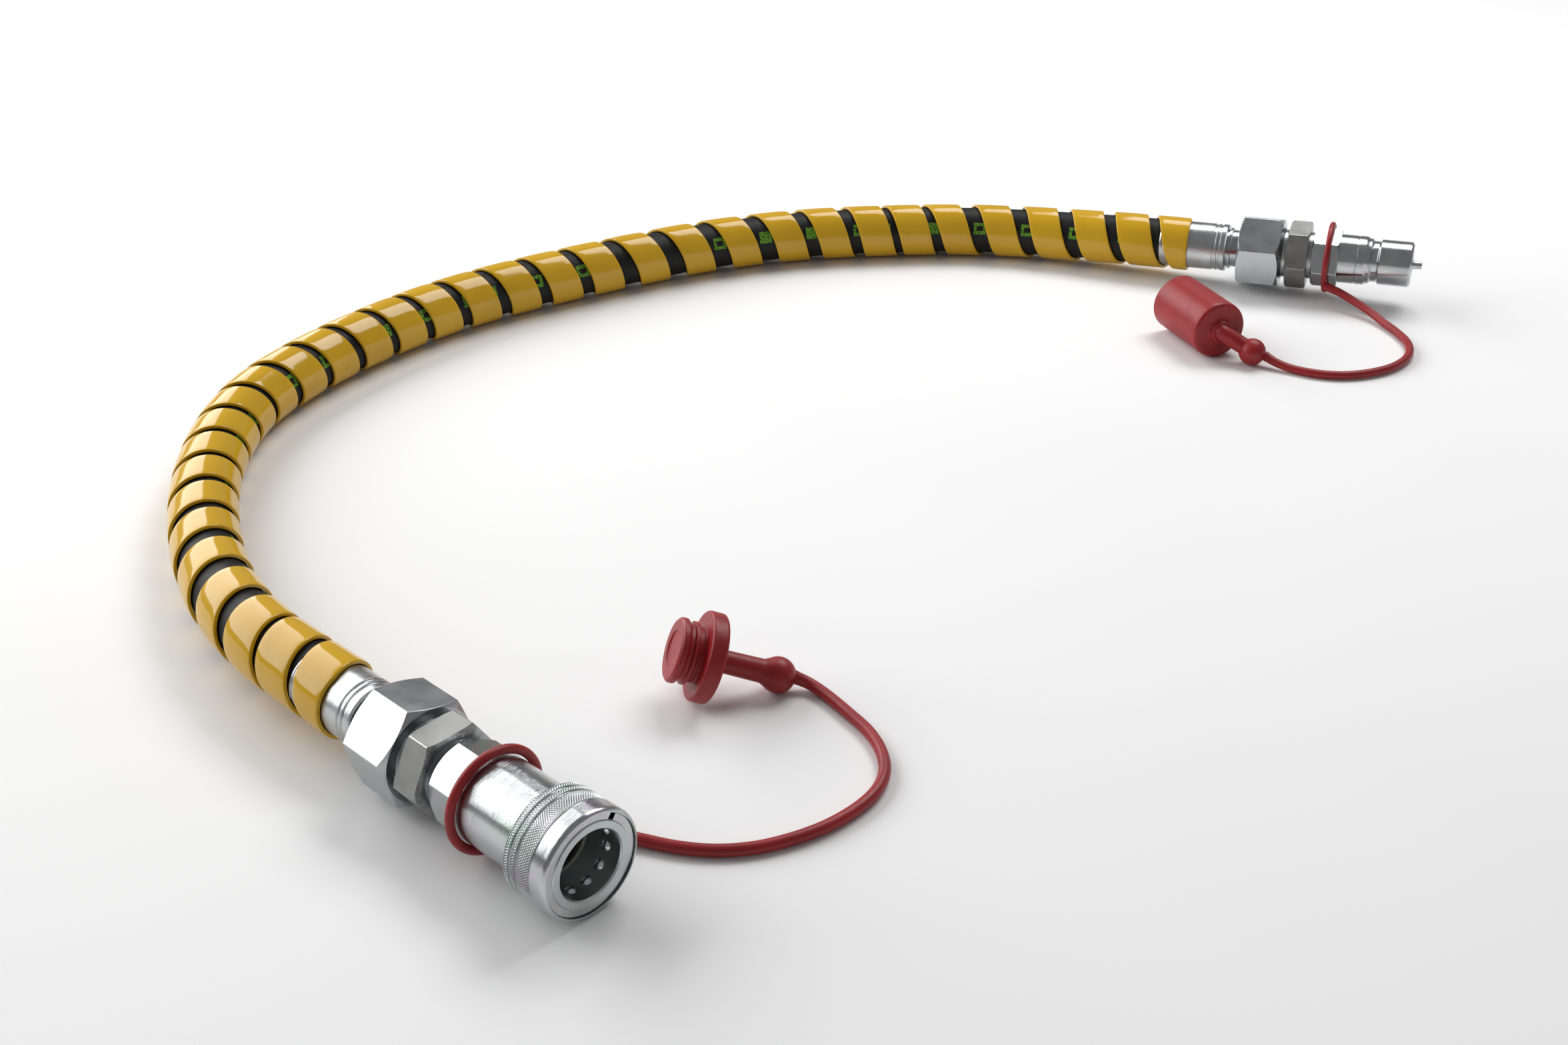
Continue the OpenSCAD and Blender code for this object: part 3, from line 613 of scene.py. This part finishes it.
def make_guard():
    """Helical strip with rounded edges and a slightly crowned outside."""
    half = GUARD_STRIP / 2
    start, stop = GUARD_FIRST - half + GUARD_TIP, GUARD_LAST + half - GUARD_TIP
    table = np.array(GUARD_TURNS)
    turns = np.interp([start, stop], table[:, 0], table[:, 1])
    steps = int(math.ceil((turns[1] - turns[0]) * 56))
    middle = np.linspace(start, stop, steps + 1)
    angle = 2 * math.pi * np.interp(middle, table[:, 0], table[:, 1])
    rear, front = np.maximum(GUARD_FIRST, middle - half), np.minimum(GUARD_LAST, middle + half)
    outer, inner = GUARD_OD / 2, GUARD_OD / 2 - GUARD_WALL
    edge = 0.75
    arc = np.radians(np.linspace(0, 90, 5))
    # Section as (share of the edge radius from the rear or front, radius)
    right = [(-edge + edge * math.cos(a), outer - edge + edge * math.sin(a)) for a in arc]
    left = [(edge - edge * math.sin(a), outer - edge + edge * math.cos(a)) for a in arc]
    rows = []
    for k in range(len(middle)):
        w = front[k] - rear[k]
        e = min(1.0, 0.45 * w / edge)
        sect = [(rear[k], inner), (rear[k] + 0.4 * w, inner), (front[k] - 0.4 * w, inner), (front[k], inner)]
        sect += [(front[k] + x * e, r) for x, r in right]
        sect += [(front[k] - w * t, outer + 0.12 * math.sin(math.pi * t)) for t in (0.2, 0.4, 0.6, 0.8)]
        sect += [(rear[k] + x * e, r) for x, r in left]
        rows.append(sect)
    rows = np.array(rows)
    pts = HOSE.round(rows[..., 0] * MM, rows[..., 1] * MM, np.repeat(angle[:, None], rows.shape[1], 1))
    u = middle * MM
    v = np.arange(rows.shape[1] + 1) * 0.002
    verts, faces, uvs = grid(pts, u, v)
    faces, uvs = faces.tolist(), uvs.reshape(-1, 2).tolist()
    m, n = rows.shape[1], rows.shape[0]
    for row, order in ((0, range(m - 1, -1, -1)), (n - 1, range(m))):
        faces.append([row * m + k for k in order])
        uvs += [[u[row], k * 0.002] for k in order]
    obj = new_object("spiral_guard_look", verts, faces, uvs, GUARD, None, 50.0, merge=False)
    done(obj, ROOT_BODY, "guard_plastic", "spiral_guard")


# ---------------------------------------------------------------- crimped fittings

FERRULE_R = 16.5


def make_ferrule(name, m, node):
    grooves = []
    for z in (22.6, 24.4, 26.2, 28.0, 29.8, 31.6):
        floor_r = FERRULE_R - 0.22
        grooves += [(FERRULE_R, z), (floor_r, z + 0.3), (floor_r, z + 0.6), (FERRULE_R, z + 0.9)]
    for z in (58.6, 61.8):
        floor_r = FERRULE_R - 0.7
        grooves += [(FERRULE_R, z), (floor_r, z + 0.4), (floor_r, z + 1.8), (FERRULE_R, z + 2.2)]
    profile = [(14.8, 21), (FERRULE_R - 0.4, 21), (FERRULE_R, 21.8)] + grooves + [
        (FERRULE_R, 67.2), (FERRULE_R - 0.8, 68), (13.1, 68), (13.1, 65.5), (11.3, 65.5), (11.3, 61.8),
        (13.5, 61.8), (13.5, 57.8), (14.35, 57.8), (14.35, 21.6)]
    if area(profile) < 0:
        profile = profile[::-1]
    base = fillet(profile, 0.12)
    cols = 192
    angles = np.arange(cols) * 2 * math.pi / cols
    profiles = []
    for a in angles:
        p = base.copy()
        # Eight shallow flats left by the crimping dies, with a fine ridge between them
        off = abs(((math.degrees(a) + 22.5) % 45) - 22.5) / 22.5
        sink = 0.16 * math.cos(off * math.pi / 2) - 0.05 * (off > 0.93)
        body = np.clip((p[:, 1] - 33) / 2, 0, 1) * np.clip((57 - p[:, 1]) / 2, 0, 1)
        p[:, 0] -= sink * body * (p[:, 0] > 15.5)
        profiles.append(p)
    obj = new_object(name, *revolve(profiles, angles), FERRULE, m, 45.0)
    done(obj, ROOT_BODY, "satin_zinc", node)


def make_nut(name, m, node, body, turn):
    def profile(r):
        return hex_rows(r, 46.0, 77, 106, 2.2, 2.2) + [
            (18.5, 106, 0.1), (18.1, 105.6, 0.1), (18.1, 83.6), (13.15, 83.6), (13.15, 77)]
    obj = hexagon(name, profile, 46.0, (77, 106), turn, m, [NUT_FLAT, NUT_TURNED], 0.3)
    done(obj, body, "satin_zinc", node)


def make_adapter(name, m, node, turn):
    def profile(r):
        thread = []
        for z in np.arange(101.5, 106.6, 1.0):
            thread += [(17.95, z, 0.05), (17.2, z + 0.5, 0.05)]
        return ([(13.9, 92.3), (17.2, 92.3), (17.95, 93)] + thread
                + [(17.95, 107, 0.1), (16.6, 107.6, 0.2), (16.6, 110.5, 0.2)]
                + hex_rows(r, 41.0, 110.5, 125, 1.0, 1.0)
                + [(16.2, 125), (16.2, 128), (15.05, 128), (15.05, 126.8), (13.3, 126.8), (13.1, 128),
                   (13.1, 143),
                   (10, 143), (10, 101.5), (12.5, 99.5)])
    obj = hexagon(name, profile, 41.0, (110.5, 125), turn, m, [ROLLED, ROLLED_TURNED], 0.25)
    done(obj, ROOT_BODY, "rolled_steel", node)


# ---------------------------------------------------------------- socket

def make_socket_back(m):
    def profile(r):
        return (hex_rows(r, 36.0, 128, 146, 3.78, 1.2, 1.0)
                + [(20.5, 146.01, 0.1), (20.5, 190.6, 0.15), (20.1, 191, 0.15), (18.95, 191), (18.95, 168),
                   (16.5, 168), (16.5, 147.4), (12, 147.4), (12, 144), (13.25, 144), (13.25, 128)])
    obj = hexagon("socket_back_look", profile, 36.0, (128, 146), 6, m, [POLISHED_FLAT, POLISHED], 0.25)
    done(obj, ROOT_BODY, "polished_zinc", "socket_back_body")


KNURLS = 126
KNURL_DEPTH = 0.42
KNURL_ROWS = 0.2


def make_sleeve(m):
    """Sleeve with real knurling: two narrow rings and one broad band of cut diamonds."""
    r = 25.2
    bands = [(187.5, 189.6), (191.1, 193.4), (194.9, 202.5)]
    edges = [(20.62, 187), (r - 0.9, 187), (r - 0.3, 187.5)]
    after = {0: [(r - 1.05, 189.85), (r - 1.05, 190.75), (r - 0.3, 191.1)],
             1: [(r - 1.05, 193.65), (r - 1.05, 194.55), (r - 0.3, 194.9)],
             2: [(r - 0.8, 202.75), (r - 0.8, 203.45), (r, 203.8)]}
    rows = [(*q, 0) for q in fillet([(20.62, 189.8)] + edges, 0.2, closed=False)[1:]]
    for k, (a, b) in enumerate(bands):
        n = int(round((b - a) / KNURL_ROWS))
        rows += [(r - 0.1, a + (b - a) * t / n, 1.0 if 0 < t < n else 0.25) for t in range(n + 1)]
        rows += [(*q, 0) for q in fillet([(r - 0.1, b)] + after[k], 0.1, closed=False)[1:]]
    nose = [(r, 203.8), (r, 209.6), (r, 210.1)]
    nose += [(r - 1.8 + 1.8 * math.cos(t), 210.2 + 2.2 * math.sin(t))
             for t in np.radians(np.arange(5, 91, 8.5))]
    nose += [(23.4, 212.2), (23.4, 210.05), (22.3, 210.0), (22.3, 207.83), (20.1, 200.5), (20.1, 200),
             (21.3, 200), (21.3, 190.3), (20.62, 189.8)]
    rows += [(*q, 0) for q in nose[1:]]
    cols = KNURLS * 6
    angles = np.arange(cols) * 2 * math.pi / cols
    rows = np.array(rows)
    tri = lambda x: 1 - np.abs((x % 1.0) * 2 - 1)
    pitch = 2 * math.pi * r / KNURLS
    around = angles[None, :] * KNURLS / (2 * math.pi)
    axial = rows[:, 1:2] / pitch * 0.8
    height = np.minimum(tri(around + axial), tri(around - axial))
    height = np.minimum(height * 1.5, 0.92)
    rad = rows[:, 0:1] - rows[:, 2:3] * KNURL_DEPTH * (1 - height)
    prof = [np.stack([rad[:, k], rows[:, 1]], 1) for k in range(cols)]
    obj = new_object("socket_sleeve_look", *revolve(prof, angles), POLISHED, m, 30.0)
    done(obj, "sleeve", "polished_zinc", "socket_sleeve")


# ---------------------------------------------------------------- nipple

def make_nipple(m):
    def profile(r):
        return (hex_rows(r, 36.0, 128, 146, 1.2, 1.2)
                + [(16.9, 146.01, 0.1), (16.9, 157.4, 0.1), (16.5, 157.7, 0.1), (16.5, 158.2, 0.1),
                   (16.9, 158.5, 0.1),
                   (16.9, 163.4, 0.3), (15.7, 165.4, 0.3), (15.7, 167, 0.2), (14.2, 168.5, 0.6),
                   (14.2, 172, 0.6),
                   (15.7, 173.5, 0.3), (15.7, 193.6, 0.6), (14.3, 195, 0.3), (7.5, 195, 0.2), (7.5, 191),
                   (11.5, 187),
                   (12.6, 187), (12.6, 144), (13.25, 144), (13.25, 128)])
    obj = hexagon("nipple_look", profile, 36.0, (128, 146), 46.5, m, [POLISHED_FLAT, POLISHED], 0.25)
    done(obj, ROOT_BODY, "polished_zinc", "nipple_body")


# ---------------------------------------------------------------- dust covers

def torus(name, major, minor, station, m, material, cols=144, rows=28):
    a = np.arange(rows) * 2 * math.pi / rows
    prof = np.stack([major + minor * np.cos(a), station + minor * np.sin(a)], 1)
    angles = np.arange(cols) * 2 * math.pi / cols
    return new_object(name, *revolve([prof] * cols, angles), material, m, 80.0)


def aim(at, direction):
    z = Vector(direction).normalized()
    y = Vector((0, 0, 1)).cross(z).normalized()
    m = Matrix((y.cross(z), y, z)).transposed().to_4x4()
    m.translation = Vector(at)
    return m


def upright(obj):
    """Turns the mesh in place of the object, so that the object's own box is level with the floor."""
    obj.data.transform(obj.matrix_world)
    obj.matrix_world = Matrix.Identity(4)
    return obj


PLUG_BALL = (-0.053, -0.213, 0.009)
PLUG_TURN, PLUG_LEAN = math.radians(188), math.radians(21)
CAP_BOTTOM = (0.237, 0.179, 0.019)
CAP_TURN = math.radians(-70)
CAP_BALL = (0.257, 0.168, 0.009)


def make_plug():
    direction = (math.cos(PLUG_LEAN) * math.cos(PLUG_TURN), math.cos(PLUG_LEAN) * math.sin(PLUG_TURN),
                 math.sin(PLUG_LEAN))
    ball = [(8.9 * math.sin(t), -8.9 * math.cos(t), 0) for t in np.radians(np.arange(0, 132, 6))]
    profile = ball + [
        (5.9, 8.2, 1.2), (5.6, 29.5, 1.0), (6.6, 31.4, 0.8), (8.6, 32.2, 0.4), (22, 32.2, 1.5),
        (22, 40.7, 1.5),
        (13.4, 40.7, 0.6), (13.4, 44.3, 0.5), (15.3, 44.5, 0.5), (15.3, 46.3, 0.5), (13.8, 46.7, 0.4),
        (13.8, 48.6, 0.5), (15.8, 49.6, 0.9), (15.8, 52.2, 0.9), (14.4, 53.4, 0.8), (9.5, 53.4, 0.5),
        (9.0, 52.6, 0.5),
        (0, 52.6)]
    obj = lathe("dust_plug_look", profile, aim(PLUG_BALL, direction), RED, 0.3, cols=128, sharp=60.0)
    return done(upright(obj), "plug_cover", "red_pvc", "dust_plug")


def make_cap():
    axis = Vector((math.cos(CAP_TURN), math.sin(CAP_TURN), 0))
    profile = [(0, 3.5), (7.4, 3.5, 0.8), (8.3, 0.2, 1.5), (17.2, 0, 0.5), (18.7, -1.3, 1.5), (19, -4, 1.0),
               (18.9, -53.4, 0.6), (18.2, -54, 0.5),
               (16.4, -54, 0.4), (15.85, -53.2, 0.4), (15.85, -4, 0.8), (0, -4)]
    obj = lathe("dust_cap_look", profile, aim(CAP_BOTTOM, axis), RED, 0.3, cols=128, sharp=60.0)
    done(obj, "cap_cover", "red_pvc", "dust_cap")
    # Stem from the closed end to the ball, flared where it leaves the closed end
    start, end = Vector(CAP_BOTTOM) - axis * 0.001, Vector(CAP_BALL)
    line = Rail(smooth_line([start, start + axis * 0.005, start.lerp(end, 0.55) + axis * 0.0015, end],
                            -0.004 * np.array(axis), np.array(end - start) * 0.3, 12))
    length = line.length
    s = np.linspace(0.0, length, 60)

    def radius(x):
        near = np.exp(-x / 0.0013) * 3.2 * MM
        return 5.5 * MM + near

    stem = sweep("dust_cap_stem", line, s, radius, 40, RED, sharp=70.0)
    done(stem, "cap_cover", "red_pvc")
    ball_axis = (end - Vector(CAP_BOTTOM)).normalized()
    ball = [(8.8 * math.sin(t), -8.8 * math.cos(t), 0) for t in np.radians(np.arange(0, 181, 6))]
    knob = lathe("dust_cap_knob", ball, aim(CAP_BALL, ball_axis), RED, 0.0, cols=96, sharp=80.0)
    done(upright(knob), "cap_cover", "red_pvc")
    return obj, stem, knob


def make_lanyard(name, route, diameter, node, body):
    line = cord_rail(route)
    s = np.linspace(0, line.length, int(line.length / 0.0015))

    def radius(x):
        return diameter / 2 * (1 + 0.22 * np.exp(-x / 0.004) + 0.12 * np.exp(-(line.length - x) / 0.006))

    obj = sweep(name, line, s, radius, 32, RED, sharp=80.0)
    done(obj, body, "red_pvc", node)
    path = line.at(np.linspace(line.length, 0, 60))


# ---------------------------------------------------------------- CAD pieces that stay

def dress(node, material):
    obj = NODES[node]
    obj.data.materials.clear()
    obj.data.materials.append(material)


def dress_cad():
    for end in ("socket_end", "plug_end"):
        dress(end + "_insert", NUT_TURNED)
        dress(end + "_cone_seal", SEAL)
        dress(end + "_adapter_seal", SEAL)
    for k in range(1, 13):
        dress("lock_ball_%02d" % k, BALL)
    for node, material in (
            ("hose_inner_tube", SEAL), ("hose_wire_reinforcement", WIRE), ("socket_front_body", BORE),
            ("socket_sleeve_spring", SPRING), ("socket_snap_ring", SPRING), ("socket_seal", SEAL),
            ("socket_backup_ring", PTFE), ("socket_poppet_guide", DARK), ("socket_poppet", DARK),
            ("socket_poppet_seal", SEAL), ("socket_poppet_spring", SPRING),
            ("nipple_retaining_ring", SPRING), ("nipple_poppet_guide", DARK), ("nipple_poppet", POLISHED),
            ("nipple_poppet_seal", SEAL), ("nipple_poppet_spring", SPRING)):
        dress(node, material)


# ---------------------------------------------------------------- stage

def area_light(name, at, target, size, power, colour=(1, 1, 1), size_y=None):
    data = bpy.data.lights.new(name, "AREA")
    data.energy = power
    data.color = colour
    data.size = size
    if size_y:
        data.shape, data.size_y = "RECTANGLE", size_y
    obj = bpy.data.objects.new(name, data)
    obj.location = at
    obj.rotation_euler = (Vector(target) - Vector(at)).to_track_quat("-Z", "Y").to_euler()
    obj.visible_camera = False
    bpy.context.scene.collection.objects.link(obj)


# Floor's half side and height, in metres: a hair below the object, so that nothing flickers
FLOOR_HALF_SIDE, FLOOR_Z = 12.0, -0.0002
WORLD_STRENGTH = 0.22


def make_stage():
    size, z = FLOOR_HALF_SIDE, FLOOR_Z
    verts = [(-size, -size, z), (size, -size, z), (size, size, z), (-size, size, z)]
    floor = new_object("floor", verts, [(0, 1, 2, 3)], None, floor_material(), None, merge=False)
    world = bpy.data.worlds.new("studio")
    world.use_nodes = True
    world.node_tree.nodes["Background"].inputs["Color"].default_value = (1, 1, 1, 1)
    world.node_tree.nodes["Background"].inputs["Strength"].default_value = WORLD_STRENGTH
    bpy.context.scene.world = world
    area_light("left_box", (-1.54, 0.75, 1.17), (-0.30, 0.0, 1.0), 2.84, 54, size_y=1.7)
    area_light("back_box", (0.80, 1.20, 1.95), (0.0, 0.0, 0.0), 1.7, 32, size_y=1.0)
    bpy.context.scene.view_settings.view_transform = "Standard"


# Name, frame and nut joint of each end, then the turns of its nut and adapter in degrees
ENDS = (("socket_end", SOCKET, "socket_nut", 16.5, 33), ("plug_end", PLUG, "plug_nut", 12.5, 36.5))


def main():
    make_hose()
    make_guard()
    for name, m, joint, nut_turn, adapter_turn in ENDS:
        make_ferrule(name + "_ferrule_look", m, name + "_ferrule")
        make_nut(name + "_nut_look", m, name + "_nut", joint, nut_turn)
        make_adapter(name + "_adapter_look", m, name + "_adapter", adapter_turn)
    make_socket_back(SOCKET)
    make_sleeve(SOCKET)
    make_nipple(PLUG)
    plug = make_plug()
    cap = make_cap()
    plug_ring = torus("plug_lanyard_ring_look", 23.2, 2.15, 150.5, SOCKET, RED)
    done(plug_ring, "plug_cover", "red_pvc", "plug_lanyard_ring")
    cap_ring = torus("cap_lanyard_ring_look", 22.9, 1.9, 138.5, PLUG, RED)
    done(cap_ring, "cap_cover", "red_pvc", "cap_lanyard_ring")
    make_lanyard("plug_lanyard_look", PLUG_CORD_ROUTE, PLUG_CORD_D, "plug_lanyard", "plug_cover")
    make_lanyard("cap_lanyard_look", CAP_CORD_ROUTE, CAP_CORD_D, "cap_lanyard", "cap_cover")
    dress_cad()
    make_stage()


main()
